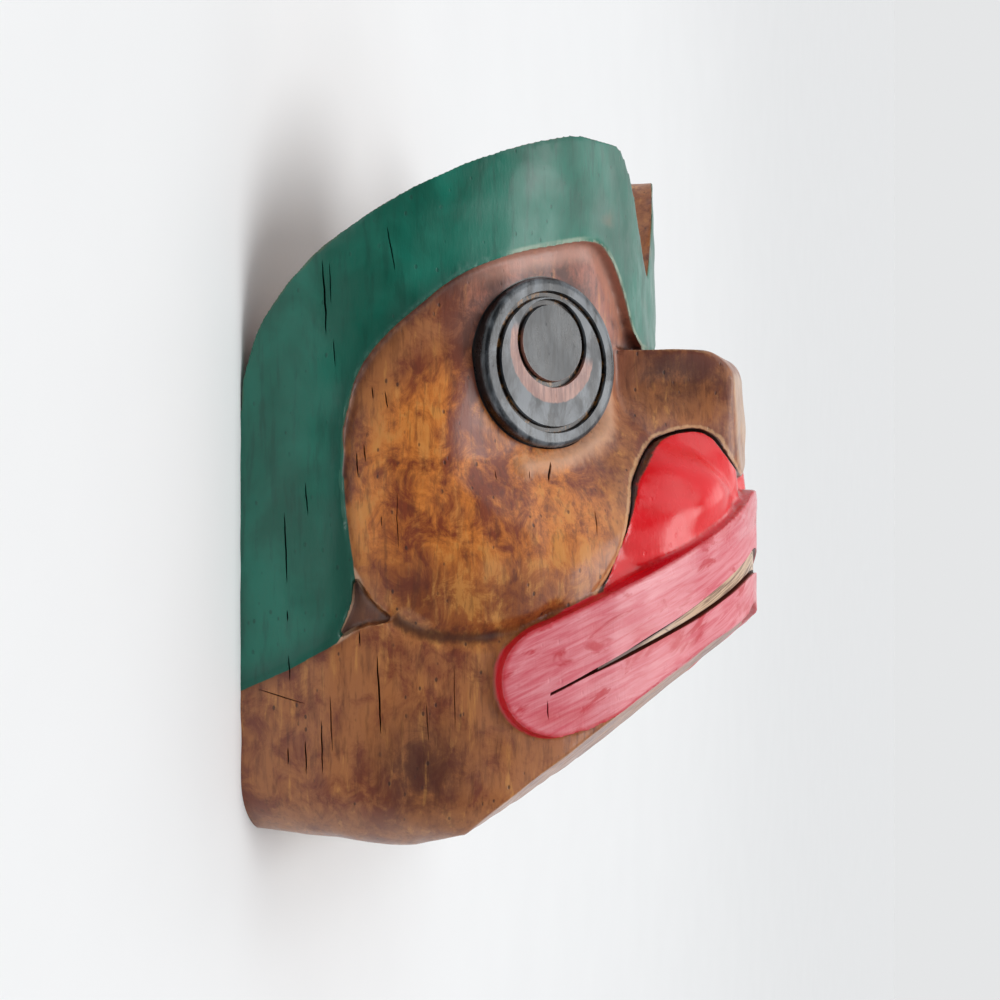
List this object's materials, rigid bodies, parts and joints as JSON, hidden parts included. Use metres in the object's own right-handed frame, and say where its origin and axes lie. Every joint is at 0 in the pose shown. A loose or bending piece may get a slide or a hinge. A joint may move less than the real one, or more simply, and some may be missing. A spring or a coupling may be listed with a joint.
{
  "type": "frog mask",
  "caption": "Carved wooden frog face mask with a swelling mouth, drooping lips, disc eyes, a flat-topped snout and a notched crown, hollow behind.",
  "frame": {"origin": "middle of the mask's bounding box in plan, on the plane of its flat back rim", "axes": "+X from the mask's right cheek to its left cheek, +Y from the chin to the crown, +Z out of the face; the mask lies on its back rim"},
  "size_m": [0.22, 0.2278, 0.1473],
  "materials": {
    "carved_wood": "stained and painted, low gloss"
  },
  "bodies": {
    "root": {"mask": "carved_wood"}
  },
  "joints": []
}
